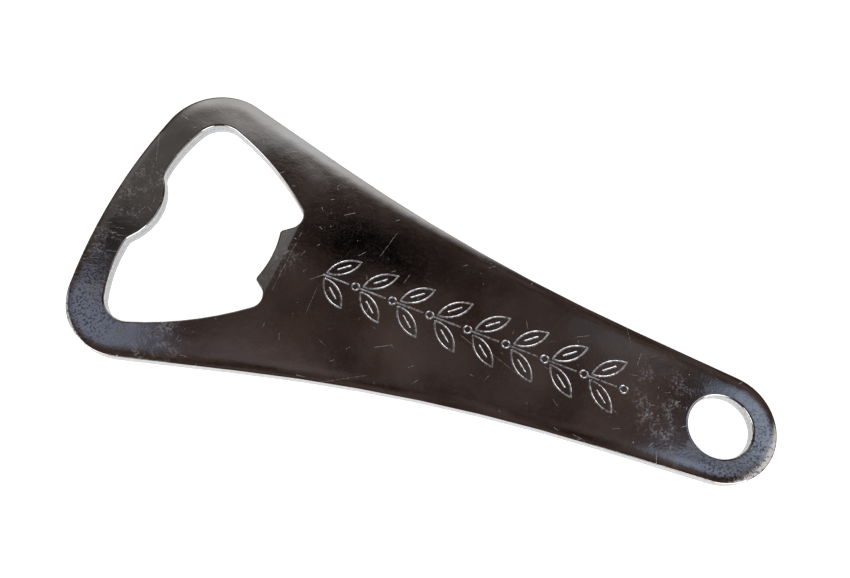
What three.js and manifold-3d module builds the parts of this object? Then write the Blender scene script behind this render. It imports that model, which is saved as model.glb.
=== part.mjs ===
// A flat souvenir bottle opener, blanked from one strip of steel and plated bright.
//
// The whole object is a single piece: a wide head with the cap opening, a handle that tapers
// to a round tail, and a hanging hole. The lifting tongue is part of the same strip, bent
// down between two relief notches. Lengths are in millimetres.
//
// Layout: the long axis is X, with the head towards -X and the tail towards +X. The engraved
// face looks up (+Z). The outline is drawn from the centre of the hanging hole and symmetric
// about the long axis, and the finished part is moved so that its origin is the bottom centre
// of its box.
import * as THREE from "three";
import { mergeVertices } from "three/addons/utils/BufferGeometryUtils.js";
import Module from "manifold-3d";

// ---- Driving dimensions ----

const LENGTH = 120;
const THICKNESS = 2.2;
const EDGE_ROUNDING = 0.25;

// Outer outline, from the tail to the head.
const TAIL_RADIUS = 9.05;
const HANDLE_TAPER = 4.65;
const WAIST_RADIUS = 321;
const HEAD_FLARE = 15.3;
const HEAD_CORNER_RADIUS = 10.95;
const HEAD_CORNER_X = -98.5;
const HEAD_CORNER_Y = 15.7;
const HEAD_FRONT_X = TAIL_RADIUS - LENGTH;

const HANGING_HOLE_RADIUS = 5.1;

// One half of the cap opening, as a walk that starts at the middle of the fulcrum hump and
// ends at the middle of the tongue's edge. A positive turn is to the left, in degrees.
const HUMP_X = -101.9;
const HUMP = { radius: 9.8, turn: 38.8 };
const HUMP_FILLET = { radius: 2.05, turn: -38.2 };
const OPENING_FRONT = { radius: 26, turn: -22.4 };
const OPENING_CORNER = { radius: 4.7, turn: -87.2 };
const OPENING_SIDE = { radius: 57.5, turn: -20.8 };
const RELIEF_NOTCH = { radius: 2.25, turn: -104.7 };
const TONGUE_FLANK = { length: 1.75 };
const PRONG = { radius: 0.8, turn: 70 };

// The tongue's bend.
const BEND_X = -77.5;
const BEND_ANGLE = 9;
const BEND_INSIDE_RADIUS = 0.6;
const BEND_STEPS = 4;
const TONGUE_REACH = 5;
const TONGUE_HALF_WIDTH = 6.9;
const TONGUE_ROOT = 1;

// The engraved band: a leafy sprig in outline.
const GROOVE_WIDTH = 0.35;
const GROOVE_DEPTH = 0.2;
const BAND_START = -69.5;
const BAND_END = -15;
const LEAF_PAIRS = 8;
const LEAF_LENGTH = 6.2;
const LEAF_WIDTH = 2.3;
const LEAF_LEAN = 40;
const LEAF_STEPS = 7;
const STEM_GAP = 0.45;

// How far a cutting tool runs past the faces that it cuts.
const CUT_CLEARANCE = 3;
// Straight pieces in each arc: ExtrudeGeometry makes twice this many.
const ARC_SEGMENTS = 9;

const radians = THREE.MathUtils.degToRad;

// ---- Solids ----

const wasm = await Module();
wasm.setup();

function solidOf(geometry) {
  const bare = geometry.clone();
  bare.deleteAttribute("normal");
  bare.deleteAttribute("uv");
  const merged = mergeVertices(bare, 1e-4);
  return new wasm.Manifold(
    new wasm.Mesh({
      numProp: 3,
      vertProperties: merged.attributes.position.array,
      triVerts: new Uint32Array(merged.index.array),
    }),
  );
}

function geometryOf(solid) {
  const mesh = solid.getMesh();
  const geometry = new THREE.BufferGeometry();
  const positions = new THREE.BufferAttribute(new Float32Array(mesh.vertProperties), 3);
  geometry.setAttribute("position", positions);
  geometry.setIndex(new THREE.BufferAttribute(new Uint32Array(mesh.triVerts), 1));
  return geometry;
}

// A straight-sided prism of a flat shape, from one height to another.
function prism(shape, low, high) {
  const settings = { depth: high - low, bevelEnabled: false, curveSegments: ARC_SEGMENTS };
  const geometry = new THREE.ExtrudeGeometry(shape, settings);
  geometry.translate(0, 0, low);
  return solidOf(geometry);
}

function rectangle(x0, x1, halfWidth) {
  const shape = new THREE.Shape();
  shape.moveTo(x0, -halfWidth);
  shape.lineTo(x1, -halfWidth);
  shape.lineTo(x1, halfWidth);
  shape.lineTo(x0, halfWidth);
  shape.closePath();
  return shape;
}

// ---- Outlines ----

// The unit vector that stands square on a side line of the upper half, away from the axis.
function sideNormal(slope) {
  return new THREE.Vector2(Math.sin(radians(slope)), Math.cos(radians(slope)));
}

function mirrored(point) {
  return new THREE.Vector2(point.x, -point.y);
}

// Counter-clockwise from the lower end of the tail's arc.
function outerOutline() {
  const handleNormal = sideNormal(HANDLE_TAPER);
  const flareNormal = sideNormal(HEAD_FLARE);
  const handleDirection = new THREE.Vector2(-handleNormal.y, handleNormal.x);
  const flareDirection = new THREE.Vector2(-flareNormal.y, flareNormal.x);
  const corner = new THREE.Vector2(HEAD_CORNER_X, HEAD_CORNER_Y);
  const tailEnd = handleNormal.clone().multiplyScalar(TAIL_RADIUS);
  const cornerEnd = corner.clone().addScaledVector(flareNormal, HEAD_CORNER_RADIUS);

  // The two side lines meet at the waist, where a large arc joins them.
  const between = cornerEnd.clone().sub(tailEnd);
  const crossing = between.cross(flareDirection) / handleDirection.cross(flareDirection);
  const waist = tailEnd.clone().addScaledVector(handleDirection, crossing);
  const reach = WAIST_RADIUS * Math.tan(radians(HEAD_FLARE - HANDLE_TAPER) / 2);
  const waistStart = waist.clone().addScaledVector(handleDirection, -reach);
  const waistCentre = waistStart.clone().addScaledVector(handleNormal, WAIST_RADIUS);

  // The slightly domed front of the head touches both corner arcs from outside.
  const inset = HEAD_CORNER_X - HEAD_FRONT_X;
  const frontRadius =
    (inset ** 2 + HEAD_CORNER_Y ** 2 - HEAD_CORNER_RADIUS ** 2) /
    (2 * (inset - HEAD_CORNER_RADIUS));
  const frontCentre = new THREE.Vector2(HEAD_FRONT_X + frontRadius, 0);
  const frontAngle = corner.clone().sub(frontCentre).angle();

  const tailAngle = radians(90 - HANDLE_TAPER);
  const handleAngle = radians(-90 - HANDLE_TAPER);
  const flareAngle = radians(-90 - HEAD_FLARE);
  const cornerAngle = radians(90 - HEAD_FLARE);
  const lowerWaist = mirrored(waistCentre);
  const lowerCorner = mirrored(corner);

  const shape = new THREE.Shape();
  shape.absarc(0, 0, TAIL_RADIUS, -tailAngle, tailAngle, false);
  shape.absarc(waistCentre.x, waistCentre.y, WAIST_RADIUS, handleAngle, flareAngle, true);
  shape.absarc(corner.x, corner.y, HEAD_CORNER_RADIUS, cornerAngle, frontAngle, false);
  shape.absarc(frontCentre.x, 0, frontRadius, frontAngle, 2 * Math.PI - frontAngle, false);
  shape.absarc(
    lowerCorner.x,
    lowerCorner.y,
    HEAD_CORNER_RADIUS,
    -frontAngle,
    -cornerAngle,
    false,
  );
  shape.absarc(lowerWaist.x, lowerWaist.y, WAIST_RADIUS, -flareAngle, -handleAngle, true);
  shape.closePath();
  return shape;
}

// Walks along a chain of tangent arcs and straight lines, adding each to the path.
function walk(path, start, startHeading, moves) {
  let at = start.clone();
  let heading = radians(startHeading);
  for (const move of moves) {
    if (move.length) {
      const ahead = new THREE.Vector2(Math.cos(heading), Math.sin(heading));
      at = at.clone().addScaledVector(ahead, move.length);
      path.lineTo(at.x, at.y);
      continue;
    }
    const side = Math.sign(move.turn);
    const toCentre = new THREE.Vector2(-Math.sin(heading), Math.cos(heading));
    const centre = at.clone().addScaledVector(toCentre, side * move.radius);
    const from = heading - (side * Math.PI) / 2;
    const to = from + radians(move.turn);
    path.absarc(centre.x, centre.y, move.radius, from, to, side < 0);
    heading += radians(move.turn);
    at = centre.add(new THREE.Vector2(Math.cos(to), Math.sin(to)).multiplyScalar(move.radius));
  }
  return at;
}

// The upper half of the cap opening. Its last arc, the hollow edge between the prongs, is as
// long and as round as it takes to reach the axis heading straight down, so that the lower
// half joins it smoothly.
function openingMoves() {
  const moves = [
    HUMP,
    HUMP_FILLET,
    OPENING_FRONT,
    OPENING_CORNER,
    OPENING_SIDE,
    RELIEF_NOTCH,
    TONGUE_FLANK,
    PRONG,
  ];
  const turned = moves.reduce((sum, move) => sum + (move.turn ?? 0), 0);
  const prong = walk(new THREE.Path(), new THREE.Vector2(HUMP_X, 0), 90, moves);
  const radius = prong.y / Math.cos(radians(90 + turned));
  return [...moves, { radius, turn: -180 - turned }];
}

function openingOutline() {
  const half = openingMoves();
  const shape = new THREE.Shape();
  shape.moveTo(HUMP_X, 0);
  walk(shape, new THREE.Vector2(HUMP_X, 0), 90, [...half, ...half.toReversed()]);
  shape.closePath();
  return shape;
}

// ---- The bent tongue ----

// A side view of the strip: flat at its root, curved down through the bend, then straight.
function bentStrip() {
  const bend = radians(BEND_ANGLE);
  const centreZ = -THICKNESS - BEND_INSIDE_RADIUS;
  const outside = BEND_INSIDE_RADIUS + THICKNESS;
  const onArc = (radius, angle) =>
    new THREE.Vector2(-radius * Math.sin(angle), centreZ + radius * Math.cos(angle));
  const along = new THREE.Vector2(-Math.cos(bend), -Math.sin(bend));
  const top = [new THREE.Vector2(TONGUE_ROOT, 0)];
  const bottom = [new THREE.Vector2(TONGUE_ROOT, -THICKNESS)];
  for (let step = 0; step <= BEND_STEPS; step++) {
    const angle = (bend * step) / BEND_STEPS;
    top.push(onArc(outside, angle));
    bottom.push(onArc(BEND_INSIDE_RADIUS, angle));
  }
  top.push(onArc(outside, bend).addScaledVector(along, TONGUE_REACH));
  bottom.push(onArc(BEND_INSIDE_RADIUS, bend).addScaledVector(along, TONGUE_REACH));
  const side = new THREE.Shape([...bottom, ...top.reverse()]);
  const width = 2 * TONGUE_HALF_WIDTH + CUT_CLEARANCE;
  const geometry = new THREE.ExtrudeGeometry(side, { depth: width, bevelEnabled: false });
  geometry.rotateX(Math.PI / 2);
  geometry.translate(BEND_X, width / 2, 0);
  return solidOf(geometry);
}

// ---- The engraving ----

// A closed pointed oval that starts at its base, given by its length, width and lean.
function leafPoints(base, lean, length, width) {
  const axis = new THREE.Vector2(Math.cos(lean), Math.sin(lean));
  const across = new THREE.Vector2(-axis.y, axis.x);
  const points = [];
  for (let side = 1; side >= -1; side -= 2) {
    for (let step = 0; step < LEAF_STEPS; step++) {
      const along = side > 0 ? step / LEAF_STEPS : 1 - step / LEAF_STEPS;
      const offset = (side * width * Math.sin(Math.PI * along)) / 2;
      points.push(
        base.clone().addScaledVector(axis, length * along).addScaledVector(across, offset),
      );
    }
  }
  return points.reverse();
}

// A leaf's outline as a groove: one pointed oval with a slightly smaller one left standing.
function leafGroove(base, lean) {
  const shape = new THREE.Shape(leafPoints(base, lean, LEAF_LENGTH, LEAF_WIDTH));
  const tip = GROOVE_WIDTH / Math.sin(Math.atan((Math.PI * LEAF_WIDTH) / (2 * LEAF_LENGTH)));
  const axis = new THREE.Vector2(Math.cos(lean), Math.sin(lean));
  const innerBase = base.clone().addScaledVector(axis, tip);
  const innerLength = LEAF_LENGTH - 2 * tip;
  const innerWidth = LEAF_WIDTH - 2 * GROOVE_WIDTH;
  shape.holes.push(new THREE.Path(leafPoints(innerBase, lean, innerLength, innerWidth)));
  return shape;
}

function engraving() {
  const grooves = [rectangle(BAND_START, BAND_END, GROOVE_WIDTH / 2)];
  const pitch = (BAND_END - BAND_START) / LEAF_PAIRS;
  for (let pair = 0; pair < LEAF_PAIRS; pair++) {
    for (const side of [-1, 1]) {
      const base = new THREE.Vector2(BAND_START + pitch * pair, side * STEM_GAP);
      grooves.push(leafGroove(base, side * radians(LEAF_LEAN)));
    }
  }
  return grooves.map((groove) => prism(groove, -GROOVE_DEPTH, CUT_CLEARANCE));
}

// ---- The part ----

function blank() {
  const shape = outerOutline();
  const hole = new THREE.Path();
  hole.absarc(0, 0, HANGING_HOLE_RADIUS, 0, Math.PI, false);
  hole.absarc(0, 0, HANGING_HOLE_RADIUS, Math.PI, 2 * Math.PI, false);
  shape.holes.push(hole, openingOutline());
  const geometry = new THREE.ExtrudeGeometry(shape, {
    depth: THICKNESS - 2 * EDGE_ROUNDING,
    bevelThickness: EDGE_ROUNDING,
    bevelSize: EDGE_ROUNDING,
    bevelOffset: -EDGE_ROUNDING,
    bevelSegments: 1,
    curveSegments: ARC_SEGMENTS,
  });
  geometry.translate(0, 0, EDGE_ROUNDING - THICKNESS);
  return solidOf(geometry);
}

function bladeSolid() {
  const tip = BEND_X - TONGUE_REACH;
  const low = -THICKNESS - CUT_CLEARANCE;
  const tongueArea = prism(rectangle(tip, BEND_X, TONGUE_HALF_WIDTH), low, CUT_CLEARANCE);
  const rootArea = rectangle(tip, BEND_X + TONGUE_ROOT / 2, TONGUE_HALF_WIDTH);
  const openingArea = prism(openingOutline(), low, CUT_CLEARANCE);
  const tongue = bentStrip()
    .intersect(prism(rootArea, low, CUT_CLEARANCE))
    .subtract(openingArea);
  let blade = blank().subtract(tongueArea).add(tongue);
  for (const groove of engraving()) blade = blade.subtract(groove);
  return blade;
}

const bladeGeometry = geometryOf(bladeSolid());
bladeGeometry.computeBoundingBox();
const box = bladeGeometry.boundingBox;
const middle = box.getCenter(new THREE.Vector3());
bladeGeometry.translate(-middle.x, -middle.y, -box.min.z);
bladeGeometry.computeVertexNormals();

const chromePlate = new THREE.MeshStandardMaterial({
  color: 0xb9b6b4,
  roughness: 0.12,
  metalness: 1,
});

const blade = new THREE.Mesh(bladeGeometry, chromePlate);
blade.name = "opener_blade";

const opener = new THREE.Group();
opener.add(blade);

export default opener;
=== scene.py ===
# %% [markdown]
# A flat souvenir bottle opener
#
# The object is one strip of steel. A press blanks it to shape, punches the cap opening and
# the hanging hole, bends the lifting tongue and stamps an outline ornament in its face; then
# it is buffed and bright plated. This lesson draws the outline the way a tool maker does, as
# a chain of tangent arcs, gives it the soft edges of a buffed blank, and then spends its time
# on the thing that makes chrome look like chrome: what it reflects, and how it is worn.

# %% Load the fixed frame
import math

import bpy
from mathutils import Matrix, Vector


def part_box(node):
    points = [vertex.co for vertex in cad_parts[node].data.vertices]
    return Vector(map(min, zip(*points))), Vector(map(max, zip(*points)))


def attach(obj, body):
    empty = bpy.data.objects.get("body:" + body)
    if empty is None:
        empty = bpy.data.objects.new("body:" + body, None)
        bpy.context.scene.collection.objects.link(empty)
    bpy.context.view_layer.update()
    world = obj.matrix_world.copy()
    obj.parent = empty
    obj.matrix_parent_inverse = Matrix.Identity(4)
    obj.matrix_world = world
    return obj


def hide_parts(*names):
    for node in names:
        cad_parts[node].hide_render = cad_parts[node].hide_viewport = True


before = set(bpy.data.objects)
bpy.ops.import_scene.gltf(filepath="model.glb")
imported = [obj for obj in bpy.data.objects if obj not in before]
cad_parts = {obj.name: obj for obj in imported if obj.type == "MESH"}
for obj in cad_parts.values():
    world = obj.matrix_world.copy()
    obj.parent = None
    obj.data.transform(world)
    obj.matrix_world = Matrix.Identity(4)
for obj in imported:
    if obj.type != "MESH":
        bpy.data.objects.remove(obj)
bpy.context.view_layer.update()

low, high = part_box("opener_blade")
print("blade box:", [round(v * 1000, 2) for v in (*low, *high)], "mm")

# %% [markdown]
# Dimensions
#
# Every length is a design length in millimetres, turned to metres once. The outline is drawn
# from the centre of the hanging hole, so that is the design's own zero; the frame's box says
# where that point lies in the scene.

# %% Design dimensions
MM = 0.001
THICKNESS = 2.2 * MM
TAIL_RADIUS = 9.05 * MM
HOLE_RADIUS = 5.1 * MM

TOP = high.z
BOTTOM = TOP - THICKNESS
ORIGIN_X = high.x - TAIL_RADIUS


def place(x, y, z=0.0):
    """A design point, in millimetres from the hanging hole, as a point in the scene."""
    return Vector((ORIGIN_X + x * MM, y * MM, z))


print("hanging hole centre:", [round(v, 5) for v in place(0, 0, TOP)])

# %% [markdown]
# Small helpers
#
# An operator works on whatever is selected, so each step starts by letting go of everything
# and then picking vertices or faces by where they are.

# %% Selection helpers


def let_go():
    """Leaves edit mode and deselects every object."""
    if bpy.context.object and bpy.context.object.mode != "OBJECT":
        bpy.ops.object.mode_set(mode="OBJECT")
    bpy.ops.object.select_all(action="DESELECT")


def work_on(piece):
    let_go()
    piece.select_set(True)
    bpy.context.view_layer.objects.active = piece


def pick(piece, kind, test):
    """Selects the vertices, edges or faces that pass the test, and returns how many."""
    work_on(piece)
    bpy.ops.object.mode_set(mode="EDIT")
    modes = {"vertices": "VERT", "edges": "EDGE", "polygons": "FACE"}
    bpy.ops.mesh.select_mode(type=modes[kind])
    bpy.ops.mesh.select_all(action="DESELECT")
    bpy.ops.object.mode_set(mode="OBJECT")
    chosen = 0
    for part in getattr(piece.data, kind):
        part.select = bool(test(part))
        chosen += part.select
    bpy.ops.object.mode_set(mode="EDIT")
    return chosen


def finish_edit(piece):
    bpy.ops.object.mode_set(mode="OBJECT")
    return piece


# %% [markdown]
# The pen
#
# By hand, a tangent arc is drawn by spinning the last vertex of the line about the arc's
# centre, and a straight by extruding it. The pen below does both and keeps count of where it
# is and which way it heads. A spin with a positive angle about +Z runs clockwise, so a left
# turn is given a negative angle. The shape could also be a Bezier curve, but handles only
# come near an arc, and the reflections in a plated edge show every bump.

# %% A pen that draws with spin and extrude
ARC_STEP = math.radians(3.2)
FEWEST_STEPS = 6


def start_line(name, point):
    """A new mesh that is one vertex: a tiny plane, merged at its centre."""
    let_go()
    bpy.ops.mesh.primitive_plane_add(size=MM, location=point)
    piece = bpy.context.object
    piece.name = name
    bpy.ops.object.transform_apply(location=True, rotation=True, scale=True)
    bpy.ops.object.mode_set(mode="EDIT")
    bpy.ops.mesh.select_all(action="SELECT")
    bpy.ops.mesh.merge(type="CENTER")
    bpy.ops.mesh.select_mode(type="VERT")
    bpy.ops.mesh.select_all(action="SELECT")
    return piece


def draw(point, heading, moves, arc_step=ARC_STEP):
    """Draws moves from the selected vertex: (length,) in mm or (radius in mm, degrees)."""
    at = Vector(point)
    for move in moves:
        ahead = Vector((math.cos(heading), math.sin(heading), 0.0))
        if len(move) == 1:
            step = ahead * move[0] * MM
            bpy.ops.mesh.extrude_region_move(TRANSFORM_OT_translate={"value": step})
            at = at + step
            continue
        radius, degrees = move[0] * MM, move[1]
        side = math.copysign(1.0, degrees)
        left = Vector((-ahead.y, ahead.x, 0.0))
        centre = at + left * side * radius
        turn = math.radians(degrees)
        steps = max(FEWEST_STEPS, math.ceil(abs(turn) / arc_step))
        bpy.ops.mesh.spin(steps=steps, angle=-turn, center=centre, axis=(0, 0, 1))
        heading += turn
        outward = Vector((math.sin(heading), -math.cos(heading), 0.0))
        at = centre + outward * side * radius
    return at, heading


def close_line(piece, group):
    """Joins the ends of a drawn loop and remembers its vertices as a group."""
    bpy.ops.mesh.select_all(action="SELECT")
    bpy.ops.mesh.remove_doubles(threshold=0.02 * MM)
    bpy.ops.object.mode_set(mode="OBJECT")
    rim = piece.vertex_groups.new(name=group)
    rim.add([v.index for v in piece.data.vertices], 1.0, "REPLACE")
    ends = len(piece.data.vertices) - len(piece.data.edges)
    print(f"{piece.name}: {len(piece.data.vertices)} vertices, {ends} open ends")
    return piece


# %% [markdown]
# The outer outline
#
# The blank is symmetric: a round tail, two handle sides that open at a small taper, a large
# hollow arc at the waist, straight flared sides, two big round corners and a slightly domed
# front. The straights follow from the arcs: the handle side and the flared side are two
# tangent lines, and the waist arc is fitted where they cross.

# %% Draw the outer outline
HANDLE_TAPER = math.radians(4.65)
HEAD_FLARE = math.radians(15.3)
WAIST_RADIUS = 321.0
CORNER_RADIUS = 10.95
CORNER = Vector((-98.5, 15.7))
FRONT_X = (TAIL_RADIUS - (high.x - low.x)) / MM


def side_normal(slope):
    return Vector((math.sin(slope), math.cos(slope)))


def side_direction(slope):
    return Vector((-math.cos(slope), math.sin(slope)))


tail_end = side_normal(HANDLE_TAPER) * TAIL_RADIUS / MM
corner_end = CORNER + side_normal(HEAD_FLARE) * CORNER_RADIUS
handle_way = side_direction(HANDLE_TAPER)
flare_way = side_direction(HEAD_FLARE)
between = corner_end - tail_end
cross = handle_way.x * flare_way.y - handle_way.y * flare_way.x
to_waist = (between.x * flare_way.y - between.y * flare_way.x) / cross
from_waist = (handle_way.x * between.y - handle_way.y * between.x) / cross
reach = WAIST_RADIUS * math.tan((HEAD_FLARE - HANDLE_TAPER) / 2)

inset = CORNER.x - FRONT_X
front_radius = (inset**2 + CORNER.y**2 - CORNER_RADIUS**2) / (2 * (inset - CORNER_RADIUS))
to_corner = CORNER - Vector((FRONT_X + front_radius, 0.0))
front_angle = math.atan2(to_corner.y, to_corner.x)
corner_turn = math.degrees(front_angle - (math.pi / 2 - HEAD_FLARE))
waist_turn = math.degrees(HEAD_FLARE - HANDLE_TAPER)
front_half = math.degrees(math.pi - front_angle)

upper_side = [
    (TAIL_RADIUS / MM, 90 - math.degrees(HANDLE_TAPER)),
    (to_waist - reach,),
    (WAIST_RADIUS, -waist_turn),
    (from_waist - reach,),
    (CORNER_RADIUS, corner_turn),
    (front_radius, front_half),
]
tail_point = place(TAIL_RADIUS / MM, 0, TOP)
outline = start_line("opener_blade_plated", tail_point)
draw(tail_point, math.pi / 2, upper_side + upper_side[::-1])
close_line(outline, "outer_rim")

# %% [markdown]
# The cap opening
#
# A crown cap is caught between the blunt hump on the head side, which rests on the cap, and
# the tongue, whose two prongs hook under its skirt. The relief notches beside the tongue let
# it be bent without tearing the sheet. The whole opening is one chain of tangent arcs, and
# its second half is the first half walked backwards.

# %% Draw the cap opening
HUMP_X = -101.9
opening_half = [
    (9.8, 38.8),
    (2.05, -38.2),
    (26.0, -22.4),
    (4.7, -87.2),
    (57.5, -20.8),
    (2.25, -104.7),
    (1.75,),
    (0.8, 70.0),
]


def walk_end(moves):
    """Where a chain of moves ends and which way it heads, without drawing it."""
    at, heading = Vector((HUMP_X, 0.0)), math.pi / 2
    for move in moves:
        if len(move) == 1:
            at = at + Vector((math.cos(heading), math.sin(heading))) * move[0]
            continue
        turn = math.radians(move[1])
        signed = math.copysign(move[0], turn)
        swing = (math.sin(heading + turn) - math.sin(heading)) * signed
        rise = (math.cos(heading) - math.cos(heading + turn)) * signed
        at = at + Vector((swing, rise))
        heading += turn
    return at, heading


# The hollow edge between the prongs is as round as it takes to reach the axis.
prong_end, prong_heading = walk_end(opening_half)
hollow_radius = prong_end.y / math.cos(prong_heading)
hollow_turn = -90.0 - math.degrees(prong_heading)
opening_half.append((hollow_radius, hollow_turn))
hump_point = place(HUMP_X, 0, TOP)
opening = start_line("cap_opening_line", hump_point)
draw(hump_point, math.pi / 2, opening_half + opening_half[::-1])
close_line(opening, "opening_rim")
print("hollow edge radius:", round(hollow_radius, 2), "mm")

# %% [markdown]
# The hanging hole
#
# A punched round hole, so a plain circle of edges is enough to start with.

# %% Draw the hanging hole
HOLE_STEPS = 112
let_go()
hole_at = place(0, 0, TOP)
bpy.ops.mesh.primitive_circle_add(vertices=HOLE_STEPS, radius=HOLE_RADIUS, location=hole_at)
hole = bpy.context.object
bpy.ops.object.transform_apply(location=True, rotation=True, scale=True)
hole.vertex_groups.new(name="hole_rim").add(list(range(HOLE_STEPS)), 1.0, "REPLACE")

# %% [markdown]
# From lines to a blank
#
# The outer outline gets one face, and the openings are let in later. The buffing wheel has
# rounded the face off towards its outer edge, over nearly three millimetres, before the tight
# die-rolled edge. That fall-off is what gathers light along the rim of the real one, so it is
# modelled: the face starts low, and each inset steps a little way in and up. A bevel could not
# do it, because a wide one would run into the openings.

# %% The profile of the edge
EDGE_RADIUS = 0.22
FALL_WIDTH = 2.8
FALL_DEPTH = 0.075
EDGE_TURN = math.radians(84)
EDGE_STEPS = 6
FALL_STEPS = 9


def edge_profile():
    """Points (distance in from the wall, depth below the face), in mm, from the wall in."""
    points = []
    for step in range(EDGE_STEPS + 1):
        angle = EDGE_TURN * step / EDGE_STEPS
        inward = EDGE_RADIUS * (1 - math.cos(angle))
        points.append((inward, FALL_DEPTH + EDGE_RADIUS * (1 - math.sin(angle))))
    start_in, start_deep = points[-1]
    for step in range(1, FALL_STEPS + 1):
        share = step / FALL_STEPS
        points.append((start_in + FALL_WIDTH * share, start_deep * (1 - share) ** 3))
    return points


profile = edge_profile()
print("profile points:", len(profile), "over", round(profile[-1][0], 2), "mm")

# %% Give the outline its face
blade = outline
work_on(blade)
bpy.ops.object.mode_set(mode="EDIT")
bpy.ops.mesh.select_mode(type="EDGE")
bpy.ops.mesh.select_all(action="SELECT")
bpy.ops.mesh.edge_face_add()
finish_edit(blade)
if blade.data.polygons[0].normal.z < 0:
    pick(blade, "polygons", lambda face: True)
    bpy.ops.mesh.flip_normals()
    finish_edit(blade)
print("faces:", len(blade.data.polygons))

# %% Step the face up to its full height
LEVEL = 0.001 * MM


def open_edges(piece, height, group=None):
    """A test for the edges with a missing side at one height, of one rim or of all."""
    points = piece.data.vertices
    held = {v.index for v in points}
    if group:
        number = piece.vertex_groups[group].index
        held = {v.index for v in points if any(g.group == number for g in v.groups)}
    sides = {}
    for face in piece.data.polygons:
        for key in face.edge_keys:
            sides[key] = sides.get(key, 0) + 1

    def test(edge):
        ends = edge.vertices
        level = all(abs(points[v].co.z - height) < LEVEL for v in ends)
        return level and all(v in held for v in ends) and sides.get(edge.key, 0) < 2

    return test


# The face goes down to where its outer wall begins, and the wall is pulled down from there.
wall_top = TOP - profile[0][1] * MM
work_on(blade)
bpy.ops.object.mode_set(mode="EDIT")
bpy.ops.mesh.select_all(action="SELECT")
bpy.ops.transform.translate(value=(0, 0, wall_top - TOP))
print("outer edges:", pick(blade, "edges", open_edges(blade, wall_top)))
bpy.ops.mesh.extrude_edges_move(TRANSFORM_OT_translate={"value": (0, 0, BOTTOM - wall_top)})
bpy.ops.object.mode_set(mode="OBJECT")
print("face:", pick(blade, "polygons", lambda face: abs(face.normal.z) > 0.9))
for outer, inner in zip(profile, profile[1:]):
    bpy.ops.mesh.inset(
        thickness=(inner[0] - outer[0]) * MM,
        depth=(outer[1] - inner[1]) * MM,
        use_boundary=False,
        use_even_offset=True,
    )
finish_edit(blade)
print("face height:", round((max(v.co.z for v in blade.data.vertices) - TOP) / MM, 4), "mm off")

# %% [markdown]
# Letting in the openings
#
# The flat middle is taken out again, the two openings' lines are joined in at the same height,
# and one fill closes what lies between the three loops.

# %% Let in the openings
print("flat middle:", pick(blade, "polygons", lambda face: len(face.vertices) > 4))
bpy.ops.mesh.delete(type="ONLY_FACE")
let_go()
for piece in (hole, opening, blade):
    piece.select_set(True)
bpy.context.view_layer.objects.active = blade
bpy.ops.object.join()
print("loop edges:", pick(blade, "edges", open_edges(blade, TOP)))
bpy.ops.mesh.fill(use_beauty=True)
finish_edit(blade)

# %% [markdown]
# Punched walls
#
# A punch does not cut straight through. It draws the edge of the sheet down into a small
# round (the die roll), shears a clean band, and the rest breaks away and is rougher. So the
# walls of both openings are pulled down in two bands, one for each.

# %% Pull the punched walls down and close the back
SHEARED_SHARE = 0.45
PUNCHED_EDGE_RADIUS = 0.32 * MM
BACK_EDGE_RADIUS = 0.12 * MM
FLAT_FROM = 0.7
sheared_depth = THICKNESS * SHEARED_SHARE
for rim in ("opening_rim", "hole_rim"):
    count = pick(blade, "edges", open_edges(blade, TOP, rim))
    for drop in (sheared_depth, THICKNESS - sheared_depth):
        bpy.ops.mesh.extrude_region_move(TRANSFORM_OT_translate={"value": (0, 0, -drop)})
    finish_edit(blade)
    print(rim, "edges:", count)

pick(blade, "edges", lambda edge: False)
bpy.ops.mesh.select_non_manifold(
    extend=False,
    use_wire=False,
    use_boundary=True,
    use_multi_face=False,
    use_non_contiguous=False,
    use_verts=False,
)
bpy.ops.mesh.fill(use_beauty=True)
bpy.ops.mesh.select_all(action="SELECT")
bpy.ops.mesh.normals_make_consistent(inside=False)
finish_edit(blade)

# %% Round the edges of the walls


def sharp_rim(piece, height):
    """A test for the edges where a wall meets a flat face at one height."""
    points = piece.data.vertices
    steep = set()
    flat = set()
    for face in piece.data.polygons:
        kind = flat if abs(face.normal.z) > FLAT_FROM else steep
        kind.update(face.edge_keys)
    both = steep & flat

    def test(edge):
        level = all(abs(points[v].co.z - height) < LEVEL for v in edge.vertices)
        return level and edge.key in both

    return test


def round_rim(height, radius, segments):
    """Rounds every sharp rim at one height, and returns how many edges that took."""
    count = pick(blade, "edges", sharp_rim(blade, height))
    bpy.ops.mesh.bevel(
        offset=radius,
        offset_type="OFFSET",
        segments=segments,
        profile=0.5,
        affect="EDGES",
        clamp_overlap=False,
        loop_slide=False,
    )
    finish_edit(blade)
    return count


print("punched top edges rounded:", round_rim(TOP, PUNCHED_EDGE_RADIUS, 6))
print("back edges rounded:", round_rim(BOTTOM, BACK_EDGE_RADIUS, 3))

# %% [markdown]
# A clean face again
#
# Rounding the edges has pushed their vertices under the long triangles of the fill. So the
# flat faces are taken out and filled anew. Between the two goes a narrow ring of flat faces
# along every edge, which keeps the rounding's slope out of the mirror.

# %% Fill the faces anew
RING_WIDTH = 0.12 * MM
DEAD_FLAT = 0.99999


def refill(height):
    """Takes out the flat faces at one height and fills between the open loops left."""

    def flat(face):
        return abs(face.normal.z) > DEAD_FLAT and abs(face.center.z - height) < 0.1 * LEVEL

    print("flat faces:", pick(blade, "polygons", flat))
    bpy.ops.mesh.delete(type="FACE")
    finish_edit(blade)
    pick(blade, "edges", open_edges(blade, height))
    bpy.ops.mesh.fill(use_beauty=True)
    finish_edit(blade)
    return flat


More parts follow.
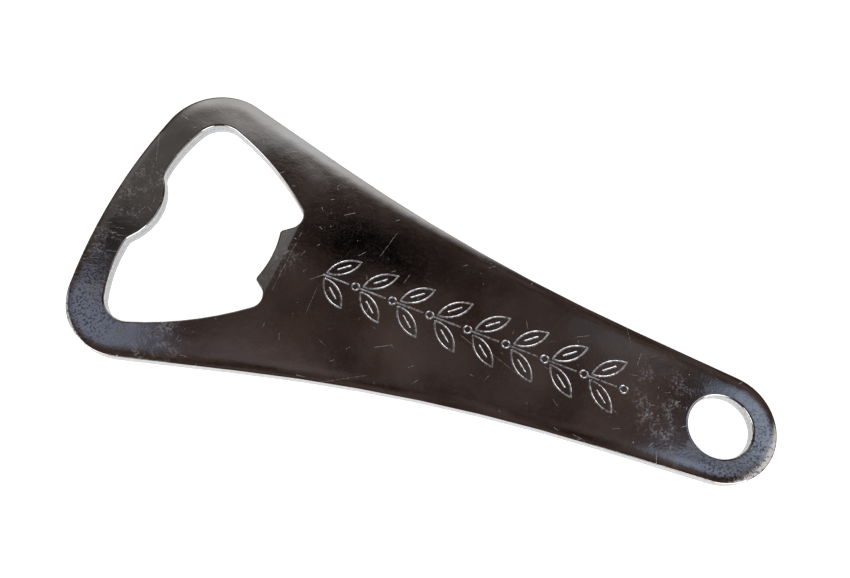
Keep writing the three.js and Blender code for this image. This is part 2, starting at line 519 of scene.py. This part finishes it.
refill(BOTTOM)
flat_on_top = refill(TOP)
pick(blade, "polygons", flat_on_top)
bpy.ops.mesh.inset(thickness=RING_WIDTH, depth=0, use_boundary=True, use_even_offset=True)
bpy.ops.mesh.delete(type="FACE")
finish_edit(blade)
print("inner loop edges:", pick(blade, "edges", open_edges(blade, TOP)))
bpy.ops.mesh.fill(use_beauty=True)
bpy.ops.mesh.select_all(action="SELECT")
bpy.ops.mesh.normals_make_consistent(inside=False)
finish_edit(blade)

# %% [markdown]
# Bending the tongue
#
# A press bends the tongue down so that its prongs catch under the cap. In edit mode a bend is
# a few parallel cuts across the sheet, and then everything beyond each cut is turned by the
# same few degrees about that cut. Bisect makes the cuts, and rotate, given its centre, turns
# them; with no window it runs the other way round, so the sign is chosen to send the tongue
# down.

# %% Bend the tongue
BEND_FROM = -77.6
BEND_STEP = 0.1
BEND_CUTS = 5
BEND_ANGLE = math.radians(8.9)
TONGUE_HALF_WIDTH = 6.9 * MM
TONGUE_LIMIT = -84.0
PAST_THE_CUT = 0.01 * MM

for number in range(BEND_CUTS):
    pick(blade, "polygons", lambda face: True)
    cut_at = place(BEND_FROM - BEND_STEP * number, 0, TOP)
    bpy.ops.mesh.bisect(plane_co=cut_at, plane_no=(1, 0, 0))
    finish_edit(blade)

share = BEND_ANGLE / BEND_CUTS
limit_x = place(TONGUE_LIMIT, 0).x
hinge = place(BEND_FROM, 0, TOP)
for number in range(BEND_CUTS):
    # Each hinge lies one step further along the sheet, as far as that is turned by now.
    turned = share * number
    ahead = Vector((-math.cos(turned), 0.0, -math.sin(turned)))
    if number:
        hinge = hinge + ahead * BEND_STEP * MM

    def beyond(v):
        past = (v.co - hinge).dot(ahead) > PAST_THE_CUT
        return past and v.co.x > limit_x and abs(v.co.y) < TONGUE_HALF_WIDTH

    count = pick(blade, "vertices", beyond)
    bpy.ops.transform.rotate(value=share, orient_axis="Y", center_override=hinge)
    finish_edit(blade)
    print("bend cut", number, "turns", count, "vertices")
lowest = min(v.co.z for v in blade.data.vertices)
print("tongue drops:", round((BOTTOM - lowest) / MM, 3), "mm")

# %% [markdown]
# The stamped ornament
#
# The face carries an outline ornament, struck with a die whose thin round-nosed lines push
# narrow channels into the steel: a leafy sprig with a stem, pairs of pointed leaves with a
# rib, and round berries. Each line is drawn with the pen, made a curve so that it can be given
# a round section, made a mesh again, and cut from the face with a boolean. A bump texture
# would be quicker, but only a real channel catches the light on one flank and loses it on the
# other.

# %% Draw the sprig as round-nosed cutters
GROOVE_RADIUS = 0.2 * MM
GROOVE_LIFT = 0.08 * MM
GROOVE_ROUNDNESS = 3
BAND_START = -69.5
BAND_END = -15.0
LEAF_PAIRS = 8
LEAF_LENGTH = 6.2
LEAF_WIDTH = 2.3
LEAF_LEAN = math.radians(40)
STEM_GAP = 0.5
FLANK_STAGGER = 0.03
GROOVE_STEP = math.radians(8)
RIB_FROM = 1.9
RIB_LENGTH = 2.5
BERRY_RADIUS = 0.62
BERRY_PLACE = 0.82
STEM_REST = 0.1
cutter_z = TOP + GROOVE_LIFT


def cutter(name, start, heading, moves, closed=False):
    """A line drawn with the pen and given a round section."""
    point = place(start.x, start.y, cutter_z)
    line = start_line(name, point)
    draw(point, heading, moves, GROOVE_STEP)
    if closed:
        bpy.ops.mesh.select_all(action="SELECT")
        bpy.ops.mesh.remove_doubles(threshold=0.02 * MM)
    bpy.ops.object.mode_set(mode="OBJECT")
    bpy.ops.object.convert(target="CURVE")
    line = bpy.context.object
    line.data.bevel_depth = GROOVE_RADIUS
    line.data.bevel_resolution = GROOVE_ROUNDNESS
    line.data.use_fill_caps = True
    bpy.ops.object.convert(target="MESH")
    return bpy.context.object


def leaf_arc(length, width):
    """Radius and turn of an arc over a chord: half of a pointed leaf."""
    sagitta = width / 2
    radius = (length**2 / 4 + sagitta**2) / (2 * sagitta)
    return radius, 2 * math.asin(length / 2 / radius)


leaf_radius, leaf_turn = leaf_arc(LEAF_LENGTH, LEAF_WIDTH)
pitch = (BAND_END - BAND_START) / LEAF_PAIRS
cutters = []
for side in (-1, 1):
    for pair in range(LEAF_PAIRS):
        base = Vector((BAND_START + pitch * pair, side * STEM_GAP))
        lean = side * LEAF_LEAN
        along = Vector((math.cos(lean), math.sin(lean)))
        name = f"leaf_{pair}_{'left' if side > 0 else 'right'}"
        for flank in (-1, 1):
            # The two flanks are staggered a little, so that their ends don't coincide.
            start = base + along * FLANK_STAGGER * (1 + flank)
            heading = lean + flank * leaf_turn / 2
            turn = -flank * math.degrees(leaf_turn) * (1 - flank * FLANK_STAGGER)
            cutters.append(cutter(name, start, heading, [(leaf_radius, turn)]))
        rib_start = base + along * RIB_FROM
        cutters.append(cutter(f"{name}_rib", rib_start, lean, [(RIB_LENGTH,)]))
for pair in range(LEAF_PAIRS):
    berry = Vector((BAND_START + pitch * (pair + BERRY_PLACE), -BERRY_RADIUS))
    cutters.append(cutter(f"berry_{pair}", berry, 0.0, [(BERRY_RADIUS, 360.0)], closed=True))
    stem_start = Vector((BAND_START + pitch * pair - STEM_GAP, 0.0))
    stem_length = pitch * BERRY_PLACE - BERRY_RADIUS - STEM_REST
    cutters.append(cutter(f"stem_{pair}", stem_start, 0.0, [(stem_length,)]))
print("cutters:", len(cutters))

# %% Cut the sprig into the face
let_go()
for piece in cutters:
    piece.select_set(True)
bpy.context.view_layer.objects.active = cutters[0]
bpy.ops.object.join()
die = bpy.context.object
face_metal = bpy.data.materials.new("buffed steel, bright nickel-chrome plate")
wall_metal = bpy.data.materials.new("sheared steel edge, satin plate")
groove_metal = bpy.data.materials.new("struck groove, bright plate")
die.data.materials.clear()
die.data.materials.append(groove_metal)
blade.data.materials.clear()
blade.data.materials.append(face_metal)
blade.data.materials.append(wall_metal)
print("die faces:", len(die.data.polygons))

work_on(blade)
strike = blade.modifiers.new("strike", "BOOLEAN")
strike.operation = "DIFFERENCE"
strike.solver = "EXACT"
strike.use_self = True
strike.material_mode = "TRANSFER"
strike.object = die
bpy.ops.object.modifier_apply(modifier=strike.name)
bpy.data.objects.remove(die)
print("after the strike:", len(blade.data.polygons), "faces")

# %% [markdown]
# Smooth faces that stay flat
#
# Plate reflects so clearly that a face whose shading is bent by its neighbours looks dented.
# Smooth-by-angle keeps the groove edges sharp, and the Weighted Normal modifier lets the big
# flat faces decide the normals that they share with the narrow rounded ones.

# %% Shade the blade and sort its faces by finish
WALL_LEAN = 0.35
SHARP_ANGLE = math.radians(38)
for face in blade.data.polygons:
    if face.material_index == 0 and abs(face.normal.z) < WALL_LEAN:
        face.material_index = 1
work_on(blade)
bpy.ops.object.shade_smooth_by_angle(angle=SHARP_ANGLE)
weights = blade.modifiers.new("flat faces lead", "WEIGHTED_NORMAL")
weights.mode = "FACE_AREA"
weights.keep_sharp = True
bpy.ops.object.modifier_apply(modifier=weights.name)
finishes = [face.material_index for face in blade.data.polygons]
print("faces by finish:", [finishes.count(number) for number in range(3)])

# %% [markdown]
# Colours and nodes
#
# Colours are chosen as sRGB hex values, the way a colour picker shows them, and turned to the
# linear numbers that a shader needs. One small function adds a node, sets its properties and
# fills its inputs: a number is typed in, and a node or one of its outputs is wired in.

# %% Helpers for materials
MATH = "ShaderNodeMath"
RANGE = "ShaderNodeMapRange"
SPLIT = "ShaderNodeSeparateXYZ"
SOFT = {"interpolation_type": "SMOOTHSTEP"}


def colour(hex_value, alpha=1.0):
    channels = [int(hex_value[i : i + 2], 16) / 255 for i in (0, 2, 4)]
    linear = [c / 12.92 if c <= 0.04045 else ((c + 0.055) / 1.055) ** 2.4 for c in channels]
    return (*linear, alpha)


def add_node(tree, kind, inputs=(), stops=(), **settings):
    """Adds a node with its properties, its inputs by place or name, and its ramp's stops."""
    node = tree.nodes.new(kind)
    for name, value in settings.items():
        setattr(node, name, value)
    for name, value in inputs.items() if isinstance(inputs, dict) else enumerate(inputs):
        if isinstance(value, bpy.types.Node):
            value = next(output for output in value.outputs if output.enabled)
        if isinstance(value, bpy.types.NodeSocket):
            tree.links.new(value, node.inputs[name])
        else:
            node.inputs[name].default_value = value
    for number, (position, hex_value) in enumerate(stops):
        node.color_ramp.elements[number].position = position
        node.color_ramp.elements[number].color = colour(hex_value)
    return node


def fresh_tree(owner):
    """Turns nodes on for a material or a world and clears them away."""
    owner.use_nodes = True
    owner.node_tree.nodes.clear()
    return owner.node_tree


# %% [markdown]
# Masks
#
# A mask is a pattern between 0 and 1 that says where something shows. Masks are combined in
# three ways: the strongest of several, only where all of them are, or added up by weight.

# %% Ways to combine masks


def strongest(tree, masks):
    together = masks[0]
    for mask in masks[1:]:
        together = add_node(tree, MATH, (together, mask), operation="MAXIMUM")
    return together


def all_of(tree, masks):
    together = masks[0]
    for mask in masks[1:]:
        together = add_node(tree, MATH, (together, mask), operation="MULTIPLY")
    return together


def weighted(tree, base, pairs):
    """A base value plus each pattern times its weight."""
    total = base
    for pattern, weight in pairs:
        total = add_node(tree, MATH, (pattern, weight, total), operation="MULTIPLY_ADD")
    return total


# %% [markdown]
# Wear, as masks
#
# On a mirror nearly everything that the eye reads is wear. Three kinds are drawn here. A short
# scratch is a thin line at a random turn in its own cell of a Voronoi pattern, specks are the
# small middles of some cells of a finer one, and a smudge is cloudy noise. Sizes are in real
# millimetres, so a scale is one over a length.

# %% Clouds and specks


def clouds(tree, spot, size_mm, detail=3.0, stretch=(1.0, 1.0, 1.0)):
    """Cloudy noise with patches of about the given size, stretched along chosen axes."""
    scale = tuple(1.0 / (size_mm * MM * share) for share in stretch)
    spread = add_node(tree, "ShaderNodeMapping", {"Vector": spot, "Scale": scale})
    look = {"Vector": spread, "Scale": 1.0, "Detail": detail, "Roughness": 0.6}
    return add_node(tree, "ShaderNodeTexNoise", look)


def specks(tree, spot, cell_mm, radius_mm, share):
    """Round specks of dust or pits, in this share of the cells."""
    scale = 1.0 / (cell_mm * MM)
    cell = add_node(tree, "ShaderNodeTexVoronoi", {"Vector": spot, "Scale": scale})
    chance = add_node(tree, SPLIT, (cell.outputs["Color"],))
    size = all_of(tree, (chance.outputs["X"], radius_mm / cell_mm))
    from_rim = add_node(tree, MATH, (cell.outputs["Distance"], size), operation="SUBTRACT")
    dot = add_node(tree, RANGE, (from_rim, 0.0, -0.04), **SOFT)
    chosen = add_node(tree, MATH, (chance.outputs["Y"], share), operation="LESS_THAN")
    return all_of(tree, (dot, chosen))


def near(tree, spot, x, y, radius_mm):
    """1 at a design point, fading to 0 at a radius from it."""
    ends = (spot, place(x, y, TOP))
    away = add_node(tree, "ShaderNodeVectorMath", ends, operation="DISTANCE")
    return add_node(tree, RANGE, (away, radius_mm * MM, 0.3 * radius_mm * MM), **SOFT)


# %% Scratches


def scratches(tree, spot, cell_mm, length_mm, width_mm, share, turn=0.0, spread=math.tau):
    """Straight scratches at random turns, in this share of the cells."""
    flat = add_node(tree, "ShaderNodeMapping", {"Vector": spot, "Scale": (1.0, 1.0, 0.0)})
    scale = 1.0 / (cell_mm * MM)
    cell = add_node(tree, "ShaderNodeTexVoronoi", {"Vector": flat, "Scale": scale})
    chance = add_node(tree, SPLIT, (cell.outputs["Color"],))
    ends = (flat, cell.outputs["Position"])
    offset = add_node(tree, "ShaderNodeVectorMath", ends, operation="SUBTRACT")
    angle = weighted(tree, turn, [(chance.outputs["X"], spread)])
    turned = add_node(
        tree,
        "ShaderNodeVectorRotate",
        {"Vector": offset, "Angle": angle},
        rotation_type="Z_AXIS",
    )
    local = add_node(tree, SPLIT, (turned,))
    along = add_node(tree, MATH, (local.outputs["X"],), operation="ABSOLUTE")
    across = add_node(tree, MATH, (local.outputs["Y"],), operation="ABSOLUTE")
    reach = all_of(tree, (chance.outputs["Y"], length_mm * MM))
    past_end = add_node(tree, MATH, (along, reach), operation="SUBTRACT")
    inside = add_node(tree, RANGE, (past_end, 0.0, -0.3 * length_mm * MM), **SOFT)
    thin = add_node(tree, RANGE, (across, width_mm * MM, 0.25 * width_mm * MM), **SOFT)
    chosen = add_node(tree, MATH, (chance.outputs["Z"], share), operation="LESS_THAN")
    return all_of(tree, (inside, thin, chosen))


# %% [markdown]
# The buffed face
#
# Bright nickel-chrome plate over buffed steel: a clear mirror with a faint warm grey. The
# buffing wheel leaves a soft haze and fine lines along the strip; pockets and key rings add
# scratches that cross it anyhow; fingers and drink leave dull smudges near the hole and at
# the head's corner, where the plate is pitted as well. A scratch or speck scatters the light
# around it, so on a dark reflection it shows pale: those spots are made rough and less
# metallic, like dust in them.

# %% Where the face is marked
# Scratches: cell size, half length and width in mm, and the share of cells that hold one.
SCRATCH_KINDS = [(7.5, 1.9, 0.055, 0.55), (3.1, 0.8, 0.05, 0.3), (15.0, 5.5, 0.035, 0.5)]
CLOSE_SCRATCHES = (1.9, 0.8, 0.05, 0.4)
# Specks: cell size and radius in mm, and the share.
SPECK_KINDS = [(2.6, 0.16, 0.3), (0.8, 0.085, 0.12)]
# Zones: design point and radius, in mm. The worn ones are beside the hole and on the head.
WORN_BY_HOLE = [(-8.0, 0.0, 10.0), (-11.5, 5.0, 5.0), (-6.5, -4.5, 6.0)]
WORN_ON_HEAD = [(-107.0, 3.0, 11.0), (-105.0, -15.0, 14.0), (-80.0, 0.0, 7.0), (-92.0, -21.0, 9.0)]
PITTED = [(4.0, -3.0, 11.0), (-106.0, -20.0, 13.0)]
DRAGGED = (-107.0, -11.0, 12.0)
DRAG_MARKS = (1.5, 1.3, 0.045, 0.8)
DRAG_TURN = -0.41
DRAG_SPREAD = 0.12

tree = fresh_tree(face_metal)
spot = add_node(tree, "ShaderNodeTexCoord").outputs["Object"]
haze = clouds(tree, spot, 14.0)
lines = clouds(tree, spot, 0.35, detail=1.0, stretch=(22.0, 1.0, 1.0))
blotch = clouds(tree, spot, 3.2, detail=4.0)
grain = clouds(tree, spot, 0.4, detail=3.0)
marks = strongest(tree, [scratches(tree, spot, *kind) for kind in SCRATCH_KINDS])
dust = strongest(tree, [specks(tree, spot, *kind) for kind in SPECK_KINDS])
worn = strongest(tree, [near(tree, spot, *zone) for zone in WORN_BY_HOLE + WORN_ON_HEAD])
rim_wear = strongest(tree, [near(tree, spot, *zone) for zone in PITTED])
close_marks = all_of(tree, (worn, scratches(tree, spot, *CLOSE_SCRATCHES)))
# A row of parallel drag marks crosses the head's near corner.
drags = scratches(tree, spot, *DRAG_MARKS, turn=DRAG_TURN, spread=DRAG_SPREAD)
drags = all_of(tree, (drags, near(tree, spot, *DRAGGED)))
print("marks, dust and worn zones:", len(tree.nodes), "nodes")

# %% A painted highlight along the tongue's bend
# A pale line is painted across the root of the tongue, just before the bend: a painted highlight
# where the bend catches the light, made rough and less metallic, with a slight dip in the relief.
BEND_HIGHLIGHT_X = -76.8
BEND_HIGHLIGHT_WIDTH = 0.13 * MM
BEND_HIGHLIGHT_ENDS = (6.3 * MM, 5.2 * MM)
beside = add_node(tree, SPLIT, (spot,))
from_root = (beside.outputs["X"], place(BEND_HIGHLIGHT_X, 0).x)
root = add_node(tree, MATH, from_root, operation="SUBTRACT")
root = add_node(tree, MATH, (root,), operation="ABSOLUTE")
bend_highlight = add_node(tree, RANGE, (root, BEND_HIGHLIGHT_WIDTH, 0.3 * BEND_HIGHLIGHT_WIDTH), **SOFT)
reach = add_node(tree, MATH, (beside.outputs["Y"],), operation="ABSOLUTE")
ends = add_node(tree, RANGE, (reach, *BEND_HIGHLIGHT_ENDS), **SOFT)
broken_line = add_node(tree, RANGE, (blotch, 0.35, 0.6), **SOFT)
bend_highlight = all_of(tree, (bend_highlight, ends, broken_line))

# %% What shows pale
BEND_HIGHLIGHT_SHOWS = 0.6
SCUFF_AND_BEND_HIGHLIGHT_SHOWS = 0.62
RUB_SHOWS = 0.36
FILM_SHOWS = 0.045
# This mask holds the real scratches and also the painted highlight along the tongue's bend, and it
# feeds both the pale colour and the relief.
scuffs_and_bend_highlight = strongest(tree, (marks, close_marks, drags, all_of(tree, (bend_highlight, BEND_HIGHLIGHT_SHOWS))))
uneven = add_node(tree, RANGE, (grain, 0.3, 0.6, 0.25, 1.0), **SOFT)
scuffs_and_bend_highlight = all_of(tree, (scuffs_and_bend_highlight, uneven))
rub_blotches = add_node(tree, RANGE, (blotch, 0.46, 0.66), **SOFT)
rub_grains = add_node(tree, RANGE, (grain, 0.42, 0.62), **SOFT)
rubbed = all_of(tree, (worn, rub_blotches, rub_grains, RUB_SHOWS))
# Wiping has left a film of hair-fine marks all over, as grains too small to see one by one.
film_grains = add_node(tree, RANGE, (grain, 0.46, 0.72), **SOFT)
film_blotches = add_node(tree, RANGE, (blotch, 0.3, 0.62), **SOFT)
film = all_of(tree, (film_grains, film_blotches, FILM_SHOWS))
pale = strongest(tree, (all_of(tree, (scuffs_and_bend_highlight, SCUFF_AND_BEND_HIGHLIGHT_SHOWS)), dust, rubbed, film))

# %% The plate's colour
PIT_SHOWS = 0.8
plate_tints = [(0.35, "BBB6B2"), (0.65, "C9C8C8")]
tint = add_node(tree, "ShaderNodeValToRGB", (haze,), plate_tints)
coat = add_node(
    tree,
    "ShaderNodeMix",
    {"Factor": pale, "A": tint, "B": colour("E6E8EA")},
    data_type="RGBA",
)
# Where fingers and keys wear the rims, the plate is pitted: dark grains in a bright ground.
pit_grains = add_node(tree, RANGE, (grain, 0.5, 0.62), **SOFT)
coat = add_node(
    tree,
    "ShaderNodeMix",
    {"Factor": all_of(tree, (pit_grains, rim_wear, PIT_SHOWS)), "A": coat, "B": colour("4C4A48")},
    data_type="RGBA",
)
rough = weighted(tree, 0.02, [(haze, 0.06), (blotch, 0.05), (pale, 0.4)])
metal = weighted(tree, 1.0, [(pale, -0.55)])

# %% The plate's relief
# Heights and depths in mm: slow waves from the buffing wheel, its fine lines, the peel of the
# plate with more of it in the worn zones, and the scratches.
peel = weighted(tree, 0.0012, [(worn, 0.003), (rim_wear, 0.006)])
waves = [(haze, 0.05), (blotch, 0.009), (lines, 0.0003), (grain, peel), (scuffs_and_bend_highlight, -0.004)]
relief = weighted(tree, 0.0, waves)
bump = add_node(tree, "ShaderNodeBump", {"Height": relief, "Strength": 1.0, "Distance": MM})
shader = add_node(
    tree,
    "ShaderNodeBsdfPrincipled",
    {"Base Color": coat, "Metallic": metal, "Roughness": rough, "Normal": bump},
)
add_node(tree, "ShaderNodeOutputMaterial", {"Surface": shader})
print(face_metal.name, "-", len(tree.nodes), "nodes")

# %% [markdown]
# The sheared wall
#
# The cut edge was never buffed, so its plate is satin and shows the punch: fine lines down
# the wall in the sheared band, and coarser grains below it where the steel broke.

# %% The sheared wall
SHEARED_TO = TOP - 1.0 * MM
BROKEN_FROM = TOP - 1.15 * MM
BORDER_AT = TOP - 1.08 * MM
tree = fresh_tree(wall_metal)
spot = add_node(tree, "ShaderNodeTexCoord").outputs["Object"]
height = add_node(tree, SPLIT, (spot,)).outputs["Z"]
broken = add_node(tree, RANGE, (height, SHEARED_TO, BROKEN_FROM), **SOFT)
sheared = add_node(tree, MATH, (1.0, broken), operation="SUBTRACT")
streaks = clouds(tree, spot, 0.16, detail=2.0, stretch=(1.0, 1.0, 12.0))
grains = clouds(tree, spot, 0.22, detail=3.0)
border = add_node(tree, MATH, (height, BORDER_AT), operation="SUBTRACT")
border = add_node(tree, MATH, (border,), operation="ABSOLUTE")
border = add_node(tree, RANGE, (border, 0.1 * MM, 0.03 * MM), **SOFT)
shade = weighted(tree, 0.0, [(streaks, sheared), (grains, broken), (border, -0.22)])
wall_tints = [(0.15, "7C7E80"), (0.72, "C6C8CA")]
wall_tone = add_node(tree, "ShaderNodeValToRGB", (shade,), wall_tints)
wall_relief = {"Height": shade, "Strength": 0.6, "Distance": 0.02 * MM}
wall_bump = add_node(tree, "ShaderNodeBump", wall_relief)
shader = add_node(
    tree,
    "ShaderNodeBsdfPrincipled",
    {
        "Base Color": wall_tone,
        "Metallic": 1.0,
        "Roughness": weighted(tree, 0.26, [(shade, 0.25)]),
        "Normal": wall_bump,
    },
)
add_node(tree, "ShaderNodeOutputMaterial", {"Surface": shader})
print(wall_metal.name, "-", len(tree.nodes), "nodes")

# %% [markdown]
# The struck groove
#
# The buffing wheel cannot reach into a struck line. The plate in it is brighter than the wall
# and duller than the face, with specks of old polish left in it.

# %% The struck groove
tree = fresh_tree(groove_metal)
spot = add_node(tree, "ShaderNodeTexCoord").outputs["Object"]
residue = clouds(tree, spot, 0.5, detail=3.0)
groove_tints = [(0.3, "808082"), (0.62, "F2F4F8")]
groove_tone = add_node(tree, "ShaderNodeValToRGB", (residue,), groove_tints)
groove_rough = weighted(tree, 0.2, [(residue, 0.2)])
shader = add_node(
    tree,
    "ShaderNodeBsdfPrincipled",
    {"Base Color": groove_tone, "Metallic": 1.0, "Roughness": groove_rough},
)
add_node(tree, "ShaderNodeOutputMaterial", {"Surface": shader})
print(groove_metal.name, "-", len(tree.nodes), "nodes")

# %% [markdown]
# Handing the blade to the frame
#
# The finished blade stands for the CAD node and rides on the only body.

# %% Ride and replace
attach(blade, "root")
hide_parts("opener_blade")

# %% [markdown]
# The table
#
# A back-lit white table, as small shiny things are shot on: it lights the cut edges from below
# and leaves almost no shadow.

# %% Table
TABLE_SIZE = 4.0
TABLE_GLOW = 0.8
let_go()
bpy.ops.mesh.primitive_plane_add(size=TABLE_SIZE, location=(0, 0, 0))
floor = bpy.context.object
floor.name = "studio_table"
acrylic = bpy.data.materials.new("white back-lit acrylic")
tree = fresh_tree(acrylic)
shader = add_node(
    tree,
    "ShaderNodeBsdfPrincipled",
    {
        "Base Color": colour("F2F2F2"),
        "Roughness": 0.9,
        "Specular IOR Level": 0.1,
        "Emission Color": colour("FFFFFF"),
        "Emission Strength": TABLE_GLOW,
    },
)
add_node(tree, "ShaderNodeOutputMaterial", {"Surface": shader})
floor.data.materials.append(acrylic)

# %% [markdown]
# The camera
#
# It hangs over the handle and looks down steeply at the head, turned a little about its own
# axis, which is what makes the strip run from upper left to lower right.

# %% Camera
CAMERA_AT = place(-35.37, -43.31, TOP + 126.73 * MM)
LOOK_AT = place(-52.79, 4.12, TOP)
ROLL = math.radians(1.92)
LENS = 33.88
SENSOR = 36.0
lens_data = bpy.data.cameras.new("camera")
lens_data.lens = LENS
lens_data.sensor_width = SENSOR
lens_data.clip_start = 5 * MM
camera = bpy.data.objects.new("camera", lens_data)
bpy.context.scene.collection.objects.link(camera)


def aimed(at, target):
    """The matrix of a camera or light at one point that looks at another."""
    turn = (Vector(target) - Vector(at)).to_track_quat("-Z", "Y").to_matrix().to_4x4()
    return Matrix.Translation(at) @ turn


camera.matrix_world = aimed(CAMERA_AT, LOOK_AT) @ Matrix.Rotation(ROLL, 4, "Z")
bpy.context.scene.camera = camera

# %% [markdown]
# The dark ceiling
#
# A mirror has no colour of its own to speak of: the dark brown of the plate is an unlit room
# overhead. So the world is drawn as a ceiling, in the plane one unit above the table, with
# soft patches where a wall, a window or a card stood. `seen_at` gives the place on that
# ceiling which the camera sees reflected at a point of the face, so a patch can be put where
# its reflection is wanted. Below the ceiling's edge the walls fade to the horizon.

# %% What the mirror sees


def seen_at(x, y):
    """The ceiling place that the camera sees in the face at a design point."""
    away = place(x, y, TOP) - CAMERA_AT
    return away.x / -away.z, away.y / -away.z


# Each patch: design point, half sizes across and along in mm, edge softness, colour, share.
patches = [
    ((-116, 10), (34, 30), 0.8, "62605F", 0.95),
    ((-131, 14), (16, 15), 0.95, "807E7E", 1.0),
    ((-64, 8.0), (22, 9.5), 0.7, "030101", 1.0),
    ((-44, 10), (16, 6), 0.9, "1A100E", 0.7),
    ((-108, -7), (13, 7), 0.9, "262428", 0.9),
    ((-106, -24), (24, 13), 0.7, "8E97AE", 0.9),
    ((-72, -20), (26, 8), 0.9, "6A5E60", 0.7),
    ((-88, 57), (62, 43), 0.42, "E0E0E0", 1.0),
    ((10, 4), (16, 13), 0.6, "ACBAD2", 0.95),
    ((0, -12), (13, 8), 0.6, "9CA8C0", 0.85),
    ((-18, 9), (16, 7), 0.9, "6A686C", 0.7),
    ((56, -24), (44, 54), 0.15, "FFFFFF", 1.0),
    ((-152, -62), (40, 40), 0.2, "F4F6FF", 1.0),
]
print("ceiling patches:", len(patches))

# %% The unlit room
HORIZON = 0.02
ROOM_TINTS = [(0.36, "24140F"), (0.64, "5E504B")]
world = bpy.data.worlds.new("studio")
bpy.context.scene.world = world
tree = fresh_tree(world)
way = add_node(tree, "ShaderNodeTexCoord").outputs["Generated"]
split = add_node(tree, SPLIT, (way,))
rise = add_node(tree, MATH, (split.outputs["Z"], HORIZON), operation="MAXIMUM")
ceiling_x = add_node(tree, MATH, (split.outputs["X"], rise), operation="DIVIDE")
ceiling_y = add_node(tree, MATH, (split.outputs["Y"], rise), operation="DIVIDE")
ceiling = add_node(tree, "ShaderNodeCombineXYZ", (ceiling_x, ceiling_y))
cloud_look = {"Vector": ceiling, "Scale": 9.0, "Detail": 5.0, "Roughness": 0.62}
cloud = add_node(tree, "ShaderNodeTexNoise", cloud_look)
look = add_node(tree, "ShaderNodeValToRGB", (cloud,), ROOM_TINTS)

# %% Patches on the ceiling, and pale walls below it
WALLS_FROM = 0.3
WALLS_WHOLE = 0.05
CAMERA_RISE = (CAMERA_AT.z - TOP) / MM
for (x, y), (half_x, half_y), softness, hex_value, share in patches:
    centre_x, centre_y = seen_at(x, y)
    scale_x = CAMERA_RISE / half_x
    scale_y = CAMERA_RISE / half_y
    inputs = {
        "Vector": ceiling,
        "Location": (-centre_x * scale_x, -centre_y * scale_y, 0.0),
        "Scale": (scale_x, scale_y, 1.0),
    }
    shift = add_node(tree, "ShaderNodeMapping", inputs, vector_type="POINT")
    length = add_node(tree, "ShaderNodeVectorMath", (shift,), operation="LENGTH")
    cover = add_node(tree, RANGE, (length, 1.0, 1.0 - softness, 0.0, share), **SOFT)
    inputs = {"Factor": cover, "A": look, "B": colour(hex_value)}
    look = add_node(tree, "ShaderNodeMix", inputs, data_type="RGBA")
low_down = add_node(tree, RANGE, (split.outputs["Z"], WALLS_FROM, WALLS_WHOLE), **SOFT)
inputs = {"Factor": low_down, "A": look, "B": colour("B8B8B8")}
look = add_node(tree, "ShaderNodeMix", inputs, data_type="RGBA")
sky = add_node(tree, "ShaderNodeBackground", {"Color": look})
add_node(tree, "ShaderNodeOutputWorld", {"Surface": sky})
print("world:", len(tree.nodes), "nodes")

# %% [markdown]
# Soft boxes
#
# Two soft boxes stand low at the near corners. From the camera neither is mirrored in the
# flat face: they light the table, and glint only on the round ends of the blade.

# %% Lights


def soft_box(name, at, target, size, power):
    data = bpy.data.lights.new(name, "AREA")
    data.shape = "RECTANGLE"
    data.size, data.size_y = size
    data.energy = power
    light = bpy.data.objects.new(name, data)
    bpy.context.scene.collection.objects.link(light)
    light.matrix_world = aimed(at, target)
    return light


middle = (low + high) / 2
soft_box("near_right", Vector((0.62, -0.5, 0.62)), middle, (0.7, 0.7), 5.5)
soft_box("near_left", Vector((-0.62, -0.55, 0.62)), middle, (0.7, 0.7), 4.5)
bpy.context.scene.view_settings.view_transform = "Standard"

# %% Update the scene and finish
bpy.context.view_layer.update()
